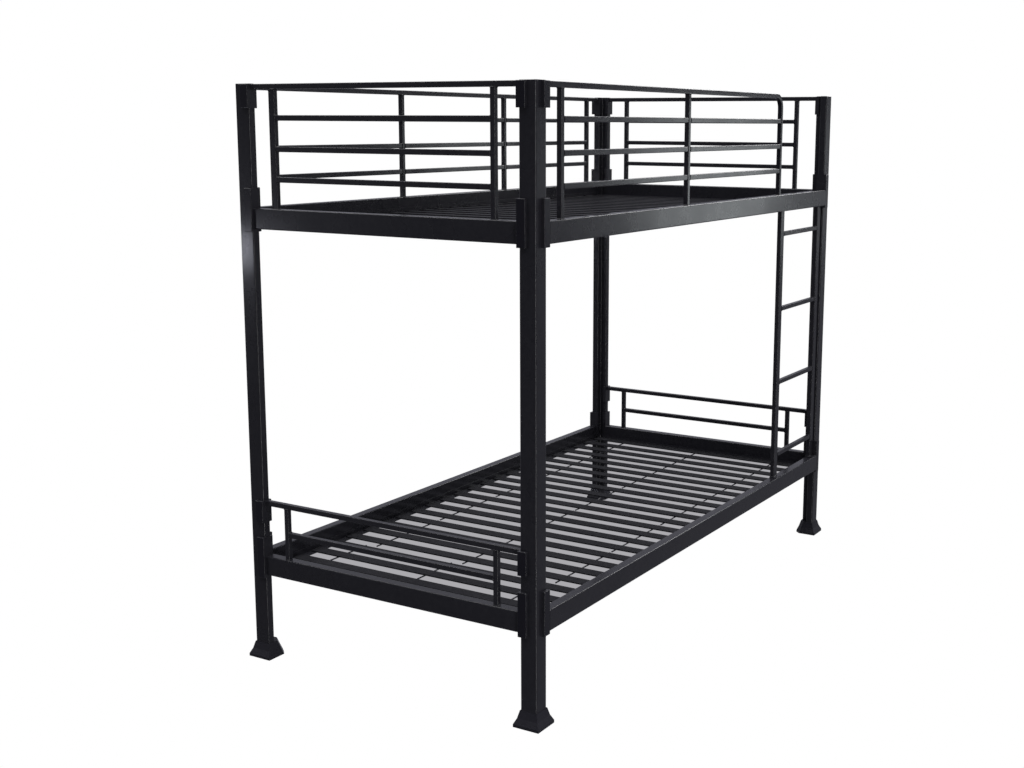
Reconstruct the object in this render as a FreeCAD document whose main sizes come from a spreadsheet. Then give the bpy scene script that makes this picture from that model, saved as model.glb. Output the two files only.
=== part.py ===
import FreeCAD, Part
import math
import os

# Metal bunk bed for two single mattresses, with a ladder built into the front.
# X runs along the bed, Y across it (front is -Y), Z up. The origin is on the
# floor under the middle of the bed. All sizes are millimetres.

SIZES = [
    ("bed_length", 2063.2, "outer face to outer face of the posts, along X"),
    ("bed_width", 995.2, "outer face to outer face of the posts, along Y"),
    ("post_top", 1682.0, "height of the posts without their caps"),
    ("post_size", 50.0, "overall width of an L-shaped post"),
    ("post_leg", 25.0, "thickness of each leg of the L"),
    ("post_wall", 2.0, "sheet thickness of the post"),
    ("post_corner", 4.0, "rounding of the post's edges"),
    ("cap_thick", 3.0, "plate of a post cap"),
    ("cap_plug", 12.0, "depth of the cap's plug inside the post"),
    ("cap_chamfer", 1.2, "chamfer round the top of a cap"),
    ("foot_base", 80.0, "side of a foot on the floor"),
    ("foot_lip", 15.0, "how far a foot reaches outside its post"),
    ("foot_edge", 8.0, "height of the upright edge of a foot"),
    ("foot_waist", 64.0, "side of a foot half way up"),
    ("foot_waist_z", 24.0, "height of that section"),
    ("foot_collar", 53.0, "side of a foot at its collar"),
    ("foot_top", 45.0, "height of the collar"),
    ("foot_floor", 5.0, "solid floor under the post in a foot"),
    ("foot_cut", 17.0, "corner cut off a foot on the side towards the bed"),
    ("claw_proud", 9.5, "how far a claw bracket stands outside a post"),
    ("claw_start", 26.0, "start of a claw's cheek from the post's corner"),
    ("claw_plate", 3.0, "thickness of a claw's end plate"),
    ("claw_lip", 4.0, "thickness of a claw's inner lip"),
    ("claw_lip_reach", 12.0, "length of a claw's inner lip along the leg"),
    ("claw_round", 1.5, "rounding of a claw's outer edges"),
    ("rail_claw_high", 123.0, "height of a claw bracket on a rail"),
    ("rail_claw_drop", 8.0, "how far a rail's claw hangs below the rail"),
    ("top_claw_high", 66.0, "height of a claw bracket on a guard"),
    ("rail_high", 58.0, "height of a rail"),
    ("rail_wide", 30.0, "width of a rail"),
    ("rail_wall", 1.5, "wall of a rail tube"),
    ("rail_round", 3.0, "rounding of a rail tube"),
    ("upper_rail_z", 1281.0, "underside of the upper rails"),
    ("lower_rail_z", 260.0, "underside of the lower rails"),
    ("ledge_lift", 5.0, "ledge above the underside of the rail"),
    ("ledge_thick", 3.0, "thickness of the ledge angle"),
    ("ledge_wide", 28.0, "width of the ledge"),
    ("ledge_high", 18.0, "height of the ledge's upright leg"),
    ("slat_wide", 40.0, "width of a slat"),
    ("slat_thick", 4.0, "depth of a slat, which is a strip with its edges turned down"),
    ("slat_sheet", 1.0, "sheet thickness of a slat"),
    ("slat_pitch", 83.5, "spacing of the slats"),
    ("slat_inset", 30.0, "slat end to the outer face of the posts"),
    ("wire_size", 4.5, "diameter of the wires under the slats"),
    ("wire_past", 16.0, "length of wire past the outer slats of a group"),
    ("wire_offset", 330.0, "outer wires from the middle of the bed"),
    ("wire_shift", 33.0, "sideways shift of the first lower group's wires"),
    ("bar_size", 15.0, "side of the square guard tubes"),
    ("bar_wall", 1.2, "wall of the guard tubes"),
    ("bar_round", 2.0, "rounding of the guard tubes"),
    ("bar_inset", 5.0, "outer face of the guards from that of the posts"),
    ("guard_top_z", 1668.5, "underside of the top tube"),
    ("guard_bar_low", 1413.5, "underside of the lowest guard bar"),
    ("guard_bar_mid", 1497.5, "underside of the middle guard bar"),
    ("guard_bar_high", 1583.3, "underside of the upper guard bar"),
    ("end_upright", 131.5, "end guard uprights from the post's outer face"),
    ("back_upright", 132.0, "first back guard upright from the left end"),
    ("back_pitch", 600.0, "spacing of the back guard uprights"),
    ("front_upright_a", 137.0, "first front guard upright from the left end"),
    ("front_upright_b", 870.0, "second front guard upright"),
    ("front_end", 1596.0, "middle of the bent end leg of the front guard"),
    ("front_bend", 42.5, "bend radius of that leg at the tube's middle"),
    ("low_top_z", 471.0, "underside of the low end guard's top tube"),
    ("low_bar_z", 386.0, "underside of the low end guard's middle bar"),
    ("stile_wide", 30.0, "width of a ladder stile"),
    ("stile_deep", 15.0, "depth of a ladder stile"),
    ("stile_left", 1615.0, "left side of the left stile from the left end"),
    ("stile_right", 1971.5, "left side of the right stile"),
    ("rung_size", 15.0, "side of a ladder rung"),
    ("rung_low", 391.5, "underside of the lowest rung"),
    ("rung_pitch", 266.7, "spacing of the rungs"),
    ("pad_long", 44.0, "length of the plate under a stile"),
    ("pad_wide", 26.0, "width of that plate"),
    ("pad_thick", 3.0, "thickness of that plate"),
]

SLATS_PER_DECK = 24
SLATS_PER_GROUP = 4
RUNGS = 4

doc = FreeCAD.newDocument("bunk_bed")
sheet = doc.addObject("Spreadsheet::Sheet", "Sizes")
for row, (alias, value, note) in enumerate(SIZES, start=1):
    sheet.set("A%d" % row, alias)
    sheet.set("B%d" % row, str(value))
    sheet.set("C%d" % row, note)
    sheet.setAlias("B%d" % row, alias)
doc.recompute()

ALIASES = sorted((alias for alias, value, note in SIZES), key=len, reverse=True)


def cells(text):
    """Write an expression with each size name pointing at its cell."""
    words = text.replace("(", " ( ").replace(")", " ) ").split()
    return " ".join("Sizes." + word if word in ALIASES else word for word in words)


def bind(thing, prop, text):
    thing.setExpression(prop, cells(text))


def place(thing, spot, turn=0.0):
    """Bind where a piece stands; turn is its rotation about Z."""
    thing.Placement = FreeCAD.Placement(
        FreeCAD.Vector(0, 0, 0), FreeCAD.Rotation(FreeCAD.Vector(0, 0, 1), turn)
    )
    for axis, text in zip("xyz", spot):
        bind(thing, "Placement.Base." + axis, text)


def block(body, name, size, at, cut=False):
    """Add a box to a body, or cut one out of it."""
    kind = "PartDesign::SubtractiveBox" if cut else "PartDesign::AdditiveBox"
    box = body.newObject(kind, name)
    for prop, text in zip(("Length", "Width", "Height"), size):
        bind(box, prop, text)
    for axis, text in zip("xyz", at):
        bind(box, "Placement.Base." + axis, text)
    doc.recompute()
    return box


def edges_along(shape, axis):
    """Names of the straight edges of a shape that run along one axis."""
    names = []
    for number, edge in enumerate(shape.Edges, start=1):
        start, end = edge.Vertexes[0].Point, edge.Vertexes[-1].Point
        run = (end - start).normalize()
        if abs(abs(run.dot(axis)) - 1) < 1e-6:
            names.append("Edge%d" % number)
    return names


def soften(body, base, axis, radius):
    """Round the edges of the body so far that run along one axis."""
    fillet = body.newObject("PartDesign::Fillet", "rounded_edges")
    fillet.Base = (base, edges_along(base.Shape, axis))
    fillet.Radius = 1.0
    bind(fillet, "Radius", radius)
    doc.recompute()
    return fillet


AXES = {
    "x": FreeCAD.Vector(1, 0, 0),
    "y": FreeCAD.Vector(0, 1, 0),
    "z": FreeCAD.Vector(0, 0, 1),
}


def tube(name, along, size, wall, radius):
    """A straight rectangular tube, open at both ends."""
    body = doc.addObject("PartDesign::Body", name)
    outer = block(body, "outside", size, ("0", "0", "0"))
    soften(body, outer, AXES[along], radius)
    inside = []
    start = []
    for axis, text in zip("xyz", size):
        through = axis == along
        inside.append(text if through else "( %s ) - 2 * %s" % (text, wall))
        start.append("0" if through else wall)
    block(body, "inside", inside, start, cut=True)
    return body


def link(master, name, spot, turn=0.0):
    """A further copy of a piece, standing somewhere else."""
    copy = doc.addObject("App::Link", name)
    copy.LinkedObject = master
    copy.LinkTransform = False
    place(copy, spot, turn)
    return copy


nodes = []


def single(name, piece, spot, turn=0.0):
    """Hand in one piece under its own name."""
    piece.Label = name
    place(piece, spot, turn)
    nodes.append(piece)


def group(name, pieces):
    """Hand in a set of separate like pieces under one name."""
    together = doc.addObject("Part::Compound", name)
    together.Label = name
    together.Links = pieces
    nodes.append(together)


# the outer corners of the bed, and how a corner piece is turned there
LEFT, RIGHT = "0 - bed_length / 2", "bed_length / 2"
FRONT, BACK = "0 - bed_width / 2", "bed_width / 2"
CORNERS = [
    ("front_left", LEFT, FRONT, 0),
    ("front_right", RIGHT, FRONT, 90),
    ("back_right", RIGHT, BACK, 180),
    ("back_left", LEFT, BACK, 270),
]


def make_post(name):
    """A hollow L-shaped post standing in its foot."""
    body = doc.addObject("PartDesign::Body", name)
    high = "post_top - foot_floor"
    notch = "post_size - post_leg"
    block(body, "outside", ("post_size", "post_size", high), ("0", "0", "0"))
    shape = block(body, "notch", (notch, notch, high), ("post_leg", "post_leg", "0"), cut=True)
    soften(body, shape, AXES["z"], "post_corner")
    long, thin = "post_size - 2 * post_wall", "post_leg - 2 * post_wall"
    block(body, "hollow_x", (long, thin, high), ("post_wall", "post_wall", "0"), cut=True)
    block(body, "hollow_y", (thin, long, high), ("post_wall", "post_wall", "0"), cut=True)
    return body


def make_cap(name):
    """A flat L-shaped cap with a plug that fills the top of the post."""
    body = doc.addObject("PartDesign::Body", name)
    notch = "post_size - post_leg"
    block(body, "plate", ("post_size", "post_size", "cap_thick"), ("0", "0", "0"))
    notched = ("post_leg", "post_leg", "0")
    shape = block(body, "notch", (notch, notch, "cap_thick"), notched, cut=True)
    rounded = soften(body, shape, AXES["z"], "post_corner")
    high = rounded.Shape.BoundBox.ZMax
    rim = []
    for number, edge in enumerate(rounded.Shape.Edges, start=1):
        if edge.BoundBox.ZMin > high - 0.001:
            rim.append("Edge%d" % number)
    top = body.newObject("PartDesign::Chamfer", "top_edge")
    top.Base = (rounded, rim)
    top.Size = 0.5
    bind(top, "Size", "cap_chamfer")
    doc.recompute()
    long, thin = "post_size - 2 * post_wall", "post_leg - 2 * post_wall"
    below = ("post_wall", "post_wall", "0 - cap_plug")
    block(body, "plug_x", (long, thin, "cap_plug"), below)
    block(body, "plug_y", (thin, long, "cap_plug"), below)
    return body


def flare(body, name, low_side, high_side, low_z, high_z):
    """A square section that narrows as it rises, centred on the foot."""
    wedge = body.newObject("PartDesign::AdditiveWedge", name)
    middle = "( foot_base / 2 - foot_lip )"
    wedge.Placement.Rotation = FreeCAD.Rotation(FreeCAD.Vector(1, 0, 0), 90)
    near, far = "( %s - %s / 2 )", "( %s + %s / 2 )"
    bind(wedge, "Xmin", near % (middle, low_side))
    bind(wedge, "Xmax", far % (middle, low_side))
    bind(wedge, "X2min", near % (middle, high_side))
    bind(wedge, "X2max", far % (middle, high_side))
    bind(wedge, "Zmin", "0 - " + far % (middle, low_side))
    bind(wedge, "Zmax", "0 - " + near % (middle, low_side))
    bind(wedge, "Z2min", "0 - " + far % (middle, high_side))
    bind(wedge, "Z2max", "0 - " + near % (middle, high_side))
    bind(wedge, "Ymin", low_z)
    bind(wedge, "Ymax", high_z)
    doc.recompute()
    return wedge


CUT_LEAN = 23.0
CUT_SIDE = 120.0
CUT_BELOW = 10.0


def trim_corner(body):
    """Cut a leaning facet off the foot's corner that points at the bed."""
    tool = body.newObject("PartDesign::SubtractiveBox", "corner_cut")
    tool.Length = tool.Width = tool.Height = CUT_SIDE
    about_z = FreeCAD.Rotation(FreeCAD.Vector(0, 0, 1), 45)
    lean = FreeCAD.Rotation(FreeCAD.Vector(0, 1, 0), 0 - CUT_LEAN)
    tool.Placement = FreeCAD.Placement(FreeCAD.Vector(0, 0, 0), about_z.multiply(lean))
    # the tool starts under the floor, where the leaning facet is further out
    out = CUT_BELOW * math.tan(math.radians(CUT_LEAN)) / math.sqrt(2)
    aside = CUT_SIDE / math.sqrt(8)
    edge = "foot_base - foot_lip - foot_cut / 2 + %.3f"
    bind(tool, "Placement.Base.x", edge % (out + aside))
    bind(tool, "Placement.Base.y", edge % (out - aside))
    bind(tool, "Placement.Base.z", "0 - %.1f" % CUT_BELOW)
    doc.recompute()


def make_foot(name):
    """A square foot that flares out below the post, with a socket for it."""
    body = doc.addObject("PartDesign::Body", name)
    edge = "0 - foot_lip"
    block(body, "base", ("foot_base", "foot_base", "foot_edge"), (edge, edge, "0"))
    flare(body, "lower_flare", "foot_base", "foot_waist", "foot_edge", "foot_waist_z")
    flare(body, "upper_flare", "foot_waist", "foot_collar", "foot_waist_z", "foot_top")
    trim_corner(body)
    deep = "foot_top - foot_floor"
    floor = ("0", "0", "foot_floor")
    block(body, "socket_x", ("post_size", "post_leg", deep), floor, cut=True)
    block(body, "socket_y", ("post_leg", "post_size", deep), floor, cut=True)
    return body


for corner, x, y, turn in CORNERS:
    single("post_" + corner, make_post("post_" + corner), (x, y, "foot_floor"), turn)
    single("foot_" + corner, make_foot("foot_" + corner), (x, y, "0"), turn)

cap = make_cap("cap")
caps = [link(cap, "cap_" + corner, (x, y, "post_top"), turn) for corner, x, y, turn in CORNERS]
group("post_caps", caps)


def make_claw(name, high, mirrored):
    """A claw bracket that hooks over the end of one leg of a post.

    Built for the leg along X of the front left post; mirrored gives the
    one for the leg along Y.
    """
    body = doc.addObject("PartDesign::Body", name)
    reach = "post_size + claw_plate - claw_start"
    cheek = (reach, "claw_proud", high)
    plate = ("claw_plate", "claw_proud + post_leg + claw_lip", high)
    lip = ("claw_lip_reach + claw_plate", "claw_lip", high)
    parts = [
        ("cheek", cheek, ("claw_start", "0 - claw_proud", "0")),
        ("end_plate", plate, ("post_size", "0 - claw_proud", "0")),
        ("lip", lip, ("post_size - claw_lip_reach", "post_leg", "0")),
    ]
    for label, size, at in parts:
        if mirrored:
            size = (size[1], size[0], size[2])
            at = (at[1], at[0], at[2])
        last = block(body, label, size, at)
    rim = body.newObject("PartDesign::Fillet", "outer_edges")
    out = FreeCAD.Vector(1, 0, 0) if mirrored else FreeCAD.Vector(0, 1, 0)
    low = last.Shape.BoundBox.XMin if mirrored else last.Shape.BoundBox.YMin
    names = []
    for number, edge in enumerate(last.Shape.Edges, start=1):
        if abs(edge.CenterOfMass.dot(out) - low) < 0.001:
            names.append("Edge%d" % number)
    rim.Base = (last, names)
    bind(rim, "Radius", "claw_round")
    doc.recompute()
    return body


def claw_links(tag, high, low_z, spots):
    """Claws at the given (corner, leg) places; leg is along x or y."""
    masters = {}
    made = []
    for number, leg in spots:
        corner, x, y, turn = CORNERS[number]
        # a quarter turn swaps which leg of the L a claw sits on
        mirrored = (leg == "y") != (number % 2 == 1)
        if mirrored not in masters:
            kind = "mirrored" if mirrored else "plain"
            masters[mirrored] = make_claw(tag + "_claw_" + kind, high, mirrored)
        made.append(link(masters[mirrored], tag + "_" + corner, (x, y, low_z), turn))
    return made


SIDE_SPOTS = [(0, "x"), (1, "x"), (2, "x"), (3, "x")]
END_SPOTS = [(0, "y"), (1, "y"), (2, "y"), (3, "y")]
for level in ("upper", "lower"):
    low = level + "_rail_z - rail_claw_drop"
    for side, spots in (("side", SIDE_SPOTS), ("end", END_SPOTS)):
        name = level + "_" + side + "_rail_brackets"
        group(name, claw_links(name, "rail_claw_high", low, spots))

TOP_CLAW_Z = "guard_top_z + bar_size - top_claw_high"
LOW_CLAW_Z = "low_top_z + bar_size - top_claw_high"
GUARD_CLAWS = [
    ("left_guard_brackets", TOP_CLAW_Z, [(0, "y"), (3, "y")]),
    ("right_guard_brackets", TOP_CLAW_Z, [(1, "y"), (2, "y")]),
    ("back_guard_brackets", TOP_CLAW_Z, [(2, "x"), (3, "x")]),
    ("front_guard_bracket", TOP_CLAW_Z, [(0, "x")]),
    ("low_end_guard_brackets", LOW_CLAW_Z, END_SPOTS),
]
for name, low, spots in GUARD_CLAWS:
    group(name, claw_links(name, "top_claw_high", low, spots))

# rails: the side rails stand proud of the posts like the claws that hold
# them; the end rails are flush with the posts
GAP = "( post_size + claw_plate )"
SIDE_LONG = "bed_length - 2 * " + GAP
END_LONG = "bed_width - 2 * " + GAP
SIDE_START = "0 - bed_length / 2 + " + GAP
END_START = "0 - bed_width / 2 + " + GAP

for level in ("upper", "lower"):
    low = level + "_rail_z"
    for side in ("front", "back"):
        name = level + "_side_rail_" + side
        rail = tube(name, "x", (SIDE_LONG, "rail_wide", "rail_high"), "rail_wall", "rail_round")
        out = FRONT + " - claw_proud" if side == "front" else BACK + " + claw_proud - rail_wide"
        single(name, rail, (SIDE_START, out, low))
    for end in ("left", "right"):
        name = level + "_end_rail_" + end
        rail = tube(name, "y", ("rail_wide", END_LONG, "rail_high"), "rail_wall", "rail_round")
        out = LEFT if end == "left" else RIGHT + " - rail_wide"
        single(name, rail, (out, END_START, low))

# the ledges that carry the slats, welded along the inside of the side rails
for level in ("upper", "lower"):
    low = level + "_rail_z + ledge_lift"
    for side, turn in (("front", 0), ("back", 180)):
        name = level + "_slat_ledge_" + side
        body = doc.addObject("PartDesign::Body", name)
        block(body, "flange", (SIDE_LONG, "ledge_wide", "ledge_thick"), ("0", "0", "0"))
        block(body, "upright", (SIDE_LONG, "ledge_thick", "ledge_high"), ("0", "0", "0"))
        if side == "front":
            spot = (SIDE_START, FRONT + " - claw_proud + rail_wide", low)
        else:
            spot = ("bed_length / 2 - " + GAP, BACK + " + claw_proud - rail_wide", low)
        single(name, body, spot, turn)

# slats, and the wires that tie them together in groups
slat = doc.addObject("PartDesign::Body", "slat")
slat_long = "bed_width - 2 * slat_inset"
block(slat, "strip", ("slat_wide", slat_long, "slat_thick"), ("0", "0", "0"))
under = ("slat_wide - 2 * slat_sheet", slat_long, "slat_thick - slat_sheet")
block(slat, "underside", under, ("slat_sheet", "0", "0"), cut=True)
wire = doc.addObject("Part::Cylinder", "wire")
bind(wire, "Radius", "wire_size / 2")
group_long = "%d * slat_pitch + slat_wide + 2 * wire_past" % (SLATS_PER_GROUP - 1)
bind(wire, "Height", group_long)

FIRST_SLAT = "0 - slat_pitch * %s / 2 - slat_wide / 2" % (SLATS_PER_DECK - 1)
for level in ("upper", "lower"):
    on_ledge = level + "_rail_z + ledge_lift + ledge_thick"
    slats = []
    for number in range(SLATS_PER_DECK):
        x = FIRST_SLAT + " + %d * slat_pitch" % number
        y = "0 - bed_width / 2 + slat_inset"
        slats.append(link(slat, "%s_slat_%d" % (level, number + 1), (x, y, on_ledge)))
    group(level + "_deck_slats", slats)
    wires = []
    for number in range(SLATS_PER_DECK // SLATS_PER_GROUP):
        for row in (-1, 0, 1):
            step = number * SLATS_PER_GROUP
            x = FIRST_SLAT + " - wire_past + %d * slat_pitch" % step
            y = "%d * wire_offset" % row
            if level == "lower" and number == 0:
                y = y + " + wire_shift"
            copy = doc.addObject("App::Link", "%s_wire_%d_%d" % (level, number + 1, row + 2))
            copy.LinkedObject = wire
            copy.LinkTransform = False
            lying = FreeCAD.Rotation(FreeCAD.Vector(0, 1, 0), 90)
            copy.Placement = FreeCAD.Placement(FreeCAD.Vector(0, 0, 0), lying)
            bind(copy, "Placement.Base.x", x)
            bind(copy, "Placement.Base.y", y)
            bind(copy, "Placement.Base.z", on_ledge + " - wire_size / 2")
            wires.append(copy)
    group(level + "_deck_wires", wires)


def bar(name, along, long):
    """A length of square guard tube."""
    size = {
        "x": (long, "bar_size", "bar_size"),
        "y": ("bar_size", long, "bar_size"),
        "z": ("bar_size", "bar_size", long),
    }[along]
    return tube(name, along, size, "bar_wall", "bar_round")


UPPER_RAIL_TOP = "upper_rail_z + rail_high"
LOWER_RAIL_TOP = "lower_rail_z + rail_high"
GUARD_BARS = ("guard_bar_low", "guard_bar_mid", "guard_bar_high")
END_X = {"left": LEFT + " + bar_inset", "right": RIGHT + " - bar_inset - bar_size"}
END_Y = [
    "0 - bed_width / 2 + end_upright - bar_size / 2",
    "bed_width / 2 - end_upright - bar_size / 2",
]
BETWEEN_ENDS = "bed_width - 2 * end_upright - bar_size"
BAR_START = "0 - bed_width / 2 + end_upright + bar_size / 2"

# guards across the two ends of the upper bed
guard_upright = bar("guard_upright", "z", "guard_top_z - upper_rail_z - rail_high")
end_bar = bar("end_bar", "y", BETWEEN_ENDS)
for end in ("left", "right"):
    name = "upper_guard_" + end
    x = END_X[end]
    single(name + "_top_tube", bar(name + "_top", "y", END_LONG), (x, END_START, "guard_top_z"))
    uprights = [
        link(guard_upright, "%s_upright_%d" % (name, number), (x, y, UPPER_RAIL_TOP))
        for number, y in enumerate(END_Y, start=1)
    ]
    group(name + "_uprights", uprights)
    bars = [link(end_bar, name + "_" + z, (x, BAR_START, z)) for z in GUARD_BARS]
    group(name + "_bars", bars)

# guard along the back of the upper bed
back_y = BACK + " - bar_inset - bar_size"
back_x = [
    LEFT + " + back_upright - bar_size / 2",
    LEFT + " + back_upright + back_pitch - bar_size / 2",
    LEFT + " + back_upright + 2 * back_pitch - bar_size / 2",
    RIGHT + " - back_upright - bar_size / 2",
]
back_top = bar("back_top", "x", SIDE_LONG)
single("back_guard_top_tube", back_top, (SIDE_START, back_y, "guard_top_z"))
uprights = [
    link(guard_upright, "back_upright_%d" % number, (x, back_y, UPPER_RAIL_TOP))
    for number, x in enumerate(back_x, start=1)
]
group("back_guard_uprights", uprights)
bay = bar("back_bay", "x", "back_pitch - bar_size")
last_long = "bed_length - 2 * back_upright - 2 * back_pitch - bar_size"
last_bay = bar("back_last_bay", "x", last_long)
bars = []
for number, start in enumerate(back_x[:-1], start=1):
    for z in GUARD_BARS:
        piece = last_bay if number == 3 else bay
        spot = (start + " + bar_size", back_y, z)
        bars.append(link(piece, "back_bar_%d_%s" % (number, z), spot))
group("back_guard_bars", bars)

# guard along the front, ending in a leg bent down beside the ladder
front_y = FRONT + " + bar_inset"
front_x = [
    LEFT + " + front_upright_a - bar_size / 2",
    LEFT + " + front_upright_b - bar_size / 2",
]
uprights = [
    link(guard_upright, "front_upright_%d" % number, (x, front_y, UPPER_RAIL_TOP))
    for number, x in enumerate(front_x, start=1)
]
group("front_guard_uprights", uprights)
bays = [
    bar("front_bay_1", "x", "front_upright_b - front_upright_a - bar_size"),
    bar("front_bay_2", "x", "front_end - front_upright_b - bar_size"),
]
bars = []
for number, (piece, start) in enumerate(zip(bays, front_x), start=1):
    for z in GUARD_BARS:
        spot = (start + " + bar_size", front_y, z)
        bars.append(link(piece, "front_bar_%d_%s" % (number, z), spot))
group("front_guard_bars", bars)


def size_of(alias):
    return float(sheet.get(alias))


def bent_section(side, high):
    """A rounded square across the start of the bent tube's run along X."""
    middle = size_of("bar_size") / 2
    section = Part.makeBox(1, side, side)
    section.translate(FreeCAD.Vector(0, middle - side / 2, middle - side / 2 + high))
    if side == size_of("bar_size"):
        long_edges = [e for e in section.Edges if abs(e.tangentAt(0).x) > 0.99]
        section = section.makeFillet(size_of("bar_round"), long_edges)
    return [f for f in section.Faces if f.CenterOfMass.x < 0.001][0].OuterWire


def make_bent_tube():
    """The front guard's top tube and end leg, one tube with one bend."""
    middle = size_of("bar_size") / 2
    bend = size_of("front_bend")
    run = size_of("front_end") - size_of("post_size") - size_of("claw_plate")
    drop = size_of("guard_top_z") - size_of("upper_rail_z") - size_of("rail_high")
    high = drop + middle
    slant = bend * (1 - 0.5 ** 0.5)
    start = FreeCAD.Vector(0, middle, high)
    turn_in = FreeCAD.Vector(run - bend, middle, high)
    turn_mid = FreeCAD.Vector(run - slant, middle, high - slant)
    turn_out = FreeCAD.Vector(run, middle, high - bend)
    end = FreeCAD.Vector(run, middle, 0)
    path = Part.Wire([
        Part.LineSegment(start, turn_in).toShape(),
        Part.Arc(turn_in, turn_mid, turn_out).toShape(),
        Part.LineSegment(turn_out, end).toShape(),
    ])
    outside = bent_section(size_of("bar_size"), drop)
    inside = bent_section(size_of("bar_size") - 2 * size_of("bar_wall"), drop)
    solid = path.makePipeShell([outside], True, False)
    return solid.cut(path.makePipeShell([inside], True, False))


front_top = doc.addObject("Part::Feature", "front_guard_top_tube")
front_top.Shape = make_bent_tube()
single("front_guard_top_tube", front_top, (SIDE_START, front_y, UPPER_RAIL_TOP))

# low guards across the two ends of the lower bed
low_upright = bar("low_upright", "z", "low_top_z - lower_rail_z - rail_high")
for end in ("left", "right"):
    name = "low_guard_" + end
    x = END_X[end]
    single(name + "_top_tube", bar(name + "_top", "y", END_LONG), (x, END_START, "low_top_z"))
    uprights = [
        link(low_upright, "%s_upright_%d" % (name, number), (x, y, LOWER_RAIL_TOP))
        for number, y in enumerate(END_Y, start=1)
    ]
    group(name + "_uprights", uprights)
    single(name + "_bar", bar(name + "_mid", "y", BETWEEN_ENDS), (x, BAR_START, "low_bar_z"))

# ladder, standing on the lower front rail under the upper one
stile_long = "upper_rail_z - lower_rail_z - rail_high - pad_thick"
for side in ("left", "right"):
    name = "ladder_stile_" + side
    size = ("stile_wide", "stile_deep", stile_long)
    stile = tube(name, "z", size, "bar_wall", "bar_round")
    single(name, stile, (LEFT + " + stile_" + side, front_y, LOWER_RAIL_TOP + " + pad_thick"))
rung_long = "stile_right - stile_left - stile_wide"
rung = tube("rung", "x", (rung_long, "rung_size", "rung_size"), "bar_wall", "bar_round")
rungs = []
for number in range(RUNGS):
    x = LEFT + " + stile_left + stile_wide"
    z = "rung_low + %d * rung_pitch" % number
    rungs.append(link(rung, "rung_%d" % (number + 1), (x, front_y, z)))
group("ladder_rungs", rungs)
pad = doc.addObject("PartDesign::Body", "pad")
block(pad, "plate", ("pad_long", "pad_wide", "pad_thick"), ("0", "0", "0"))
pads = []
for side in ("left", "right"):
    x = LEFT + " + stile_" + side + " + stile_wide / 2 - pad_long / 2"
    y = FRONT + " - claw_proud + rail_wide / 2 - pad_wide / 2"
    pads.append(link(pad, "pad_" + side, (x, y, LOWER_RAIL_TOP)))
group("ladder_foot_plates", pads)

doc.recompute()
for thing in doc.Objects:
    for state in ("Invalid", "Error"):
        if state in thing.State:
            raise RuntimeError(thing.Name + " did not build")
os.makedirs("parts", exist_ok=True)
for node in nodes:
    if node.Shape.isNull() or not node.Shape.isValid():
        raise RuntimeError(node.Label + " has no valid shape")
    node.Shape.exportStep("parts/" + node.Label + ".step")
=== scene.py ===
"""Paint, weld beads, light and camera for the bunk bed with ladder, in metres."""
import math

import bpy
from mathutils import Matrix, Vector


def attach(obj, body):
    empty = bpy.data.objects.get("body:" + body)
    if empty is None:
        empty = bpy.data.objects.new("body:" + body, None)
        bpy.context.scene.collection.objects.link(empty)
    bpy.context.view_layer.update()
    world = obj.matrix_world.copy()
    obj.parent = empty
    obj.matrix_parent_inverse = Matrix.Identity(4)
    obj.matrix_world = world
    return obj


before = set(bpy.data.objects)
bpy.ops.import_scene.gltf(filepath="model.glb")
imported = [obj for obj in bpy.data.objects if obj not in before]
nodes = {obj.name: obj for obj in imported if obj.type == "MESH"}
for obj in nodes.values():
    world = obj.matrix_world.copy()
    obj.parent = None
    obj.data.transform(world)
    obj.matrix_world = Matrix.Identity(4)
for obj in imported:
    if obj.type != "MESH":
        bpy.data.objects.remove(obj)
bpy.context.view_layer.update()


class Graph:
    """Adds shader nodes to an emptied tree and joins them."""

    def __init__(self, owner):
        owner.use_nodes = True
        self.tree = owner.node_tree
        self.tree.nodes.clear()

    def add(self, kind, inputs=None, **settings):
        """A new node with these settings, then these values on its inputs."""
        node = self.tree.nodes.new(kind)
        for key, value in settings.items():
            setattr(node, key, value)
        for socket, value in (inputs or {}).items():
            node.inputs[socket].default_value = value
        return node

    def join(self, source, out, target, into):
        """A link from one node's output to another node's input."""
        self.tree.links.new(source.outputs[out], target.inputs[into])


# ---------------------------------------------------------------- materials

DARK_TINT = (0.85, 0.82, 1.3)
LIGHT_TINT = (1.15, 1.1, 1.75)
WORN_EDGE = (0.05, 0.05, 0.055, 1)
COAT_ROUGHNESS = 0.12
CLOUD_SCALE = 6.0
PEEL_SCALE = 900.0
PEEL_DEPTH = 0.0006
SCUFF_SCALE = 60.0
# the roughness swings this far below and above its middle as the cloud goes
# from low to high
GLOSS_SWING = (0.06, 0.07)
CLOUD_LOW, CLOUD_HIGH = 0.3, 0.7
# the pointiness at which an edge starts to look worn, and where it is all worn
EDGE_START, EDGE_FULL = 0.53, 0.62


def tinted(shade, tint):
    """A shade of grey, with each channel weighed by the tint."""
    return tuple(shade * channel for channel in tint) + (1,)


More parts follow.
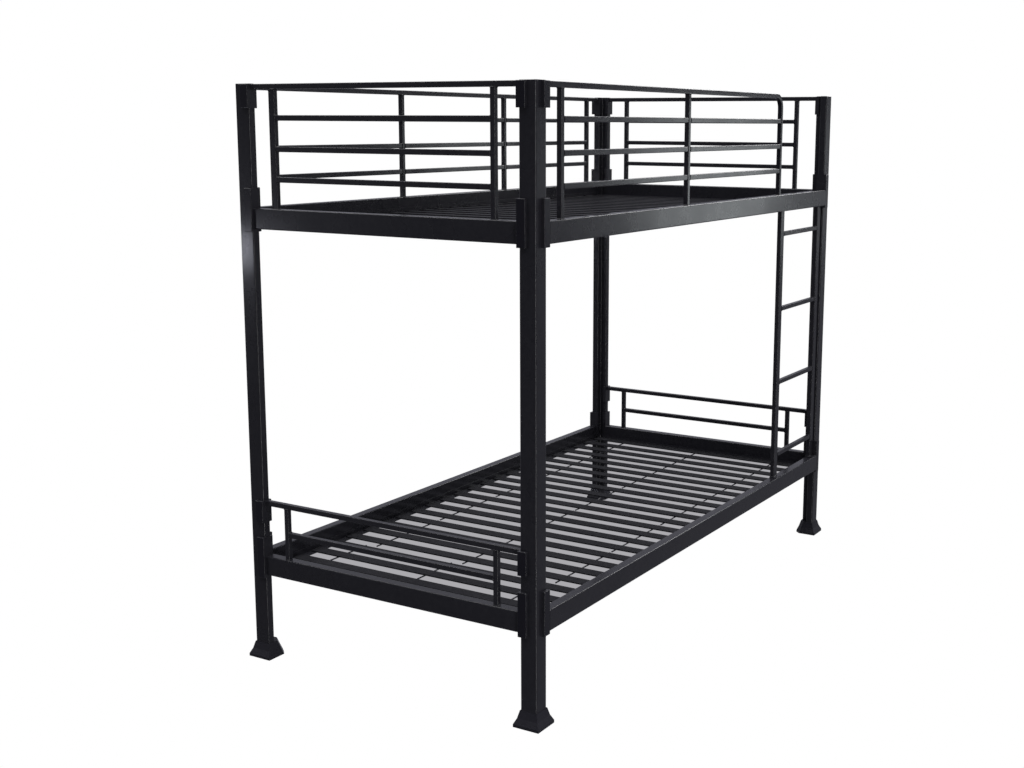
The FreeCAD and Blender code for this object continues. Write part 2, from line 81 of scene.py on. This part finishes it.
def coated_steel(name, shade, rough, grain=0.10, wear=0.5, coat=0.35, sheen=0.25):
    """Black powder coat: fine orange peel, uneven gloss, greyer worn edges."""
    mat = bpy.data.materials.new(name)
    graph = Graph(mat)
    out = graph.add("ShaderNodeOutputMaterial")
    shader = graph.add("ShaderNodeBsdfPrincipled", {
        "Metallic": 0.0,
        "Specular IOR Level": sheen,
        "Coat Weight": coat,
        "Coat Roughness": COAT_ROUGHNESS,
    })
    graph.join(shader, "BSDF", out, "Surface")
    place = graph.add("ShaderNodeTexCoord")

    def noise(scale, detail, roughness=0.5):
        """Noise that is fixed to the object."""
        texture = graph.add("ShaderNodeTexNoise", {
            "Scale": scale,
            "Detail": detail,
            "Roughness": roughness,
        })
        graph.join(place, "Object", texture, "Vector")
        return texture

    cloud = noise(CLOUD_SCALE, 4.0)
    peel = noise(PEEL_SCALE, 3.0)
    scuff = noise(SCUFF_SCALE, 8.0, 0.7)

    gloss = graph.add("ShaderNodeMapRange", {
        "From Min": CLOUD_LOW,
        "From Max": CLOUD_HIGH,
        "To Min": rough - GLOSS_SWING[0],
        "To Max": rough + GLOSS_SWING[1],
    })
    graph.join(cloud, "Fac", gloss, "Value")
    graph.join(gloss, "Result", shader, "Roughness")

    edge = graph.add("ShaderNodeNewGeometry")
    ramp = graph.add("ShaderNodeValToRGB")
    start, full = ramp.color_ramp.elements
    start.position = EDGE_START
    start.color = (0, 0, 0, 1)
    full.position = EDGE_FULL
    full.color = (1, 1, 1, 1)
    graph.join(edge, "Pointiness", ramp, "Fac")
    rub = graph.add("ShaderNodeMath", operation="MULTIPLY")
    graph.join(ramp, "Color", rub, 0)
    graph.join(scuff, "Fac", rub, 1)
    amount = graph.add("ShaderNodeMath", {1: wear}, operation="MULTIPLY")
    graph.join(rub, "Value", amount, 0)

    tone = graph.add("ShaderNodeMix", {
        "A": tinted(shade, DARK_TINT),
        "B": tinted(shade, LIGHT_TINT),
    }, data_type="RGBA")
    graph.join(cloud, "Fac", tone, "Factor")
    worn = graph.add("ShaderNodeMix", {"B": WORN_EDGE}, data_type="RGBA")
    graph.join(amount, "Value", worn, "Factor")
    graph.join(tone, "Result", worn, "A")
    graph.join(worn, "Result", shader, "Base Color")

    bump = graph.add("ShaderNodeBump", {"Strength": grain, "Distance": PEEL_DEPTH})
    graph.join(peel, "Fac", bump, "Height")
    graph.join(bump, "Normal", shader, "Normal")
    return mat


STEEL = coated_steel("black_powder_coat", 0.0075, 0.28)
SLATS = coated_steel("black_coat_slats", 0.004, 0.5, coat=0.0, sheen=0.1)
WIRE = coated_steel("black_coat_wire", 0.010, 0.45, wear=0.2)
PLASTIC = coated_steel("black_moulding", 0.010, 0.5, grain=0.2, wear=0.2)

for name, obj in nodes.items():
    if name.startswith("foot_") or name == "post_caps":
        mat = PLASTIC
    elif name.endswith("_wires"):
        mat = WIRE
    elif name.endswith("_slats"):
        mat = SLATS
    else:
        mat = STEEL
    obj.data.materials.clear()
    obj.data.materials.append(mat)


# --------------------------------------------------------------- weld beads

X, Y, Z = range(3)
UNIT = (Vector((1, 0, 0)), Vector((0, 1, 0)), Vector((0, 0, 1)))

BEAD_RADIUS = 0.0016
BEAD_SIDES = 6
# a ripple's length, the share of the radius by which it swells, and its points
RIPPLE = 0.0028
RIPPLE_SWELL = 0.16
RIPPLE_STEPS = 4
# the rounded corners of the tubes
TUBE_CORNER = 0.002
CORNER_STEPS = 3
# vertices that agree to this many decimals are one point
POINT_DECIMALS = 5


def solids(name):
    """The lowest and highest corner of each separate solid in a node."""
    mesh = nodes[name].data
    places = {}
    owner = []
    for vert in mesh.vertices:
        place = tuple(round(value, POINT_DECIMALS) for value in vert.co)
        owner.append(places.setdefault(place, vert.index))

    def chief(index):
        while owner[index] != index:
            index = owner[index]
        return index

    for face in mesh.polygons:
        first = chief(face.vertices[0])
        for index in face.vertices[1:]:
            owner[chief(index)] = first
    groups = {}
    for vert in mesh.vertices:
        groups.setdefault(chief(vert.index), []).append(vert.co)
    return [(Vector(map(min, *group)), Vector(map(max, *group))) for group in groups.values()]


def tube_outline(half_a, half_b):
    """Points round a rectangular tube, each with the direction that faces out."""
    corners = []
    for quarter in range(4):
        sign_a = 1 if quarter in (0, 3) else -1
        sign_b = 1 if quarter in (0, 1) else -1
        middle = Vector((sign_a * (half_a - TUBE_CORNER), sign_b * (half_b - TUBE_CORNER)))
        for step in range(CORNER_STEPS + 1):
            angle = math.pi / 2 * (quarter + step / CORNER_STEPS)
            out = Vector((math.cos(angle), math.sin(angle)))
            corners.append((middle + TUBE_CORNER * out, out))
    points = []
    for (here, out), (there, next_out) in zip(corners, corners[1:] + corners[:1]):
        count = max(1, round((there - here).length * RIPPLE_STEPS / RIPPLE))
        for number in range(count):
            share = number / count
            points.append((here.lerp(there, share), out.lerp(next_out, share).normalized()))
    return points


class Beads:
    """Collects rippled weld beads into one mesh."""

    def __init__(self):
        self.verts = []
        self.faces = []

    def ring(self, centre, along, half):
        """A bead round the end of a tube that runs along one axis."""
        side_a, side_b = (UNIT[axis] for axis in (X, Y, Z) if axis != along)
        half_a, half_b = (half[axis] for axis in (X, Y, Z) if axis != along)
        points = tube_outline(half_a, half_b)
        first = len(self.verts)
        run = 0.0
        before = points[-1][0]
        for flat, out in points:
            run += (flat - before).length
            before = flat
            radius = BEAD_RADIUS * (1 + RIPPLE_SWELL * math.sin(2 * math.pi * run / RIPPLE))
            base = centre + side_a * flat.x + side_b * flat.y
            outward = side_a * out.x + side_b * out.y
            for step in range(BEAD_SIDES):
                angle = 2 * math.pi * step / BEAD_SIDES
                offset = outward * math.cos(angle) + UNIT[along] * math.sin(angle)
                self.verts.append(base + offset * radius)
        self.skin(first, len(points))

    def skin(self, first, total):
        """Faces between each section of a closed bead and the next."""
        for number in range(total):
            here = first + number * BEAD_SIDES
            there = first + (number + 1) % total * BEAD_SIDES
            for step in range(BEAD_SIDES):
                beside = (step + 1) % BEAD_SIDES
                self.faces.append((here + step, here + beside, there + beside, there + step))

    def tube_ends(self, name, along):
        """A bead round both ends of every straight tube in a node."""
        for low, high in solids(name):
            for end in (low, high):
                centre = (low + high) / 2
                centre[along] = end[along]
                self.ring(centre, along, (high - low) / 2)

    def leg_end(self, name):
        """A bead round the foot of a square tube that bends down at its right end."""
        low, high = solids(name)[0]
        half = (high.y - low.y) / 2
        self.ring(Vector((high.x - half, low.y + half, low.z)), Z, (half, half, half))

    def build(self, name):
        """The collected beads as one smooth steel piece."""
        mesh = bpy.data.meshes.new(name)
        mesh.from_pydata([tuple(vert) for vert in self.verts], [], self.faces)
        for face in mesh.polygons:
            face.use_smooth = True
        mesh.materials.append(STEEL)
        obj = bpy.data.objects.new(name, mesh)
        bpy.context.collection.objects.link(obj)
        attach(obj, "root")


beads = Beads()
for side in ("left", "right"):
    beads.tube_ends(f"upper_guard_{side}_uprights", Z)
    beads.tube_ends(f"upper_guard_{side}_bars", Y)
    beads.tube_ends(f"low_guard_{side}_uprights", Z)
    beads.tube_ends(f"low_guard_{side}_bar", Y)
beads.build("weld_beads_ends")

beads = Beads()
beads.tube_ends("back_guard_uprights", Z)
beads.tube_ends("back_guard_bars", X)
beads.build("weld_beads_back")

beads = Beads()
beads.tube_ends("front_guard_uprights", Z)
beads.tube_ends("front_guard_bars", X)
beads.leg_end("front_guard_top_tube")
beads.build("weld_beads_front")

beads = Beads()
beads.tube_ends("ladder_stile_left", Z)
beads.tube_ends("ladder_stile_right", Z)
beads.tube_ends("ladder_rungs", X)
beads.build("weld_beads_ladder")


# -------------------------------------------------------------------- floor

WHITE = (1, 1, 1, 1)
FLOOR_RADIUS = 9.0
FLOOR_SIDES = 96
# a shadow of the decks painted in grey on the floor: along each axis the painted
# shadow rises between the first two and falls between the last two of these
PAINTED_SHADOW_X = (-0.43, -0.37, 2.02, 2.1)
PAINTED_SHADOW_Y = (-0.125, -0.065, 1.06, 1.1)
# the grey of the painted shadow
PAINTED_SHADOW_GREY = (0.405, 0.4, 0.42, 1)


def floor_with_painted_shadow():
    """White studio floor, evenly bright, with the shadow of the decks painted in grey across part
    of it.
    """
    mat = bpy.data.materials.new("floor_with_painted_shadow")
    graph = Graph(mat)
    out = graph.add("ShaderNodeOutputMaterial")
    glow = graph.add("ShaderNodeEmission")
    graph.join(glow, "Emission", out, "Surface")
    place = graph.add("ShaderNodeTexCoord")
    split = graph.add("ShaderNodeSeparateXYZ")
    graph.join(place, "Object", split, "Vector")

    def product(first, second):
        """The product of the first outputs of two nodes."""
        both = graph.add("ShaderNodeMath", operation="MULTIPLY")
        graph.join(first, 0, both, 0)
        graph.join(second, 0, both, 1)
        return both

    def span(axis, outer_low, low, high, outer_high):
        """One from low to high along an axis, fading to zero outside."""
        slopes = []
        for start, end in ((outer_low, low), (outer_high, high)):
            slope = graph.add("ShaderNodeMapRange", {
                "From Min": start,
                "From Max": end,
            }, interpolation_type="SMOOTHSTEP")
            graph.join(split, axis, slope, "Value")
            slopes.append(slope)
        return product(*slopes)

    # painted shadow: the floor turns grey inside both spans
    mix = graph.add("ShaderNodeMix", {"A": WHITE, "B": PAINTED_SHADOW_GREY}, data_type="RGBA")
    graph.join(product(span("X", *PAINTED_SHADOW_X), span("Y", *PAINTED_SHADOW_Y)), "Value", mix, "Factor")
    graph.join(mix, "Result", glow, "Color")
    return mat


bpy.ops.mesh.primitive_circle_add(
    vertices=FLOOR_SIDES, radius=FLOOR_RADIUS, fill_type="NGON", location=(0, 0, 0)
)
floor = bpy.context.object
floor.name = "floor"
floor.data.materials.append(floor_with_painted_shadow())
floor.visible_glossy = False
floor.visible_diffuse = False
floor.visible_shadow = False


# ------------------------------------------------------------------- lights

SKY_STRENGTH = 3.0
SKY_SPREAD = math.radians(80)
SKY_FROM = (-0.08, -0.08, 1.0)

# name, spot, the point it aims at, width and height, radiance, colour
SOFTBOXES = (
    ("front_window", (3.87, -2.36, 1.25), (0.27, -0.5, 1.25), (0.8, 0.9), 2.0, (0.93, 0.99, 1.0)),
    ("corner_strip", (-2.9, -3.4, 0.3), (-1.03, -0.5, 0.3), (0.5, 3.8), 9.0, (1, 1, 1)),
    ("edge_light_right", (3.7, -0.8, 3.2), (0.0, -0.5, 1.3), (1.5, 1.5), 7.0, (1, 1, 1)),
    ("edge_light_back", (-1.27, 2.3, 4.15), (-1.03, 0.0, 1.34), (1.0, 2.2), 6.0, (1, 1, 1)),
    ("end_window", (-3.84, 3.28, 0.86), (-1.03, 0.48, 1.2), (0.12, 0.2), 26.0, (0.86, 0.88, 1.0)),
)


def softbox(name, spot, aim, size, radiance, colour):
    """A rectangular light that gives off the stated radiance."""
    data = bpy.data.lights.new(name, "AREA")
    data.shape = "RECTANGLE"
    data.color = colour
    data.size, data.size_y = size
    data.energy = radiance * math.pi * size[0] * size[1]
    light = bpy.data.objects.new(name, data)
    light.location = spot
    light.rotation_euler = (Vector(aim) - Vector(spot)).to_track_quat("-Z", "Y").to_euler()
    light.visible_camera = False
    bpy.context.collection.objects.link(light)


sky = bpy.data.lights.new("ceiling", "SUN")
sky.energy = SKY_STRENGTH
sky.angle = SKY_SPREAD
sky_light = bpy.data.objects.new("ceiling", sky)
sky_light.rotation_euler = Vector(SKY_FROM).to_track_quat("Z", "Y").to_euler()
bpy.context.collection.objects.link(sky_light)
for row in SOFTBOXES:
    softbox(*row)


# --------------------------------------------------------------------- room

# the room is brightest beyond the back right corner
BRIGHT_SIDE = (0.86, 0.51, 0.0)
# share of the way round from the dark side to the bright side, and the tone there
ROOM_TONES = ((0.0, 0.08), (0.27, 0.08), (0.38, 0.12), (0.62, 0.17), (0.82, 0.16), (1.0, 0.36))
ROOM_COLOUR = (0.87, 0.87, 1.0, 1)


def room(world):
    """White behind the bed, and a dim room all round for what falls on the bed."""
    graph = Graph(world)
    out = graph.add("ShaderNodeOutputWorld")
    mix = graph.add("ShaderNodeMixShader")
    seen = graph.add("ShaderNodeBackground", {"Color": WHITE, "Strength": 1.0})
    fill = graph.add("ShaderNodeBackground", {"Color": ROOM_COLOUR})
    where = graph.add("ShaderNodeTexCoord")
    facing = graph.add("ShaderNodeVectorMath", {1: BRIGHT_SIDE}, operation="DOT_PRODUCT")
    graph.join(where, "Generated", facing, 0)
    turn = graph.add("ShaderNodeMapRange", {"From Min": -1.0, "From Max": 1.0})
    graph.join(facing, "Value", turn, "Value")
    rise = graph.add("ShaderNodeValToRGB")
    stops = rise.color_ramp.elements
    while len(stops) < len(ROOM_TONES):
        stops.new(0.5)
    for stop, (share, tone) in zip(stops, ROOM_TONES):
        stop.position = share
        stop.color = (tone, tone, tone, 1)
    graph.join(turn, "Result", rise, "Fac")
    graph.join(rise, "Color", fill, "Strength")
    rays = graph.add("ShaderNodeLightPath")
    graph.join(rays, "Is Camera Ray", mix, "Fac")
    graph.join(fill, "Background", mix, 1)
    graph.join(seen, "Background", mix, 2)
    graph.join(mix, "Shader", out, "Surface")


world = bpy.data.worlds.new("studio")
bpy.context.scene.world = world
room(world)


# ------------------------------------------------------------------- camera

EYE = (-3.8372, -2.2767, 1.5779)
HEADING = math.radians(30.257)
TILT = math.radians(9.823)
ROLL = math.radians(-0.2895)
SENSOR = 36.0
LENS = 47.14
SHIFT = (-0.0713, -0.0270)
FARTHEST = 60.0

data = bpy.data.cameras.new("camera")
data.sensor_width = SENSOR
data.lens = LENS
data.shift_x, data.shift_y = SHIFT
data.clip_end = FARTHEST
camera = bpy.data.objects.new("camera", data)
bpy.context.collection.objects.link(camera)
ahead = Vector((
    math.cos(HEADING) * math.cos(TILT),
    math.sin(HEADING) * math.cos(TILT),
    -math.sin(TILT),
))
right = Vector((math.sin(HEADING), -math.cos(HEADING), 0.0))
down = ahead.cross(right)
side = math.cos(ROLL) * right + math.sin(ROLL) * down
below = -math.sin(ROLL) * right + math.cos(ROLL) * down
turned = Matrix((side, -below, -ahead)).transposed().to_4x4()
camera.matrix_world = Matrix.Translation(EYE) @ turned
bpy.context.scene.camera = camera
bpy.context.scene.view_settings.view_transform = "Standard"
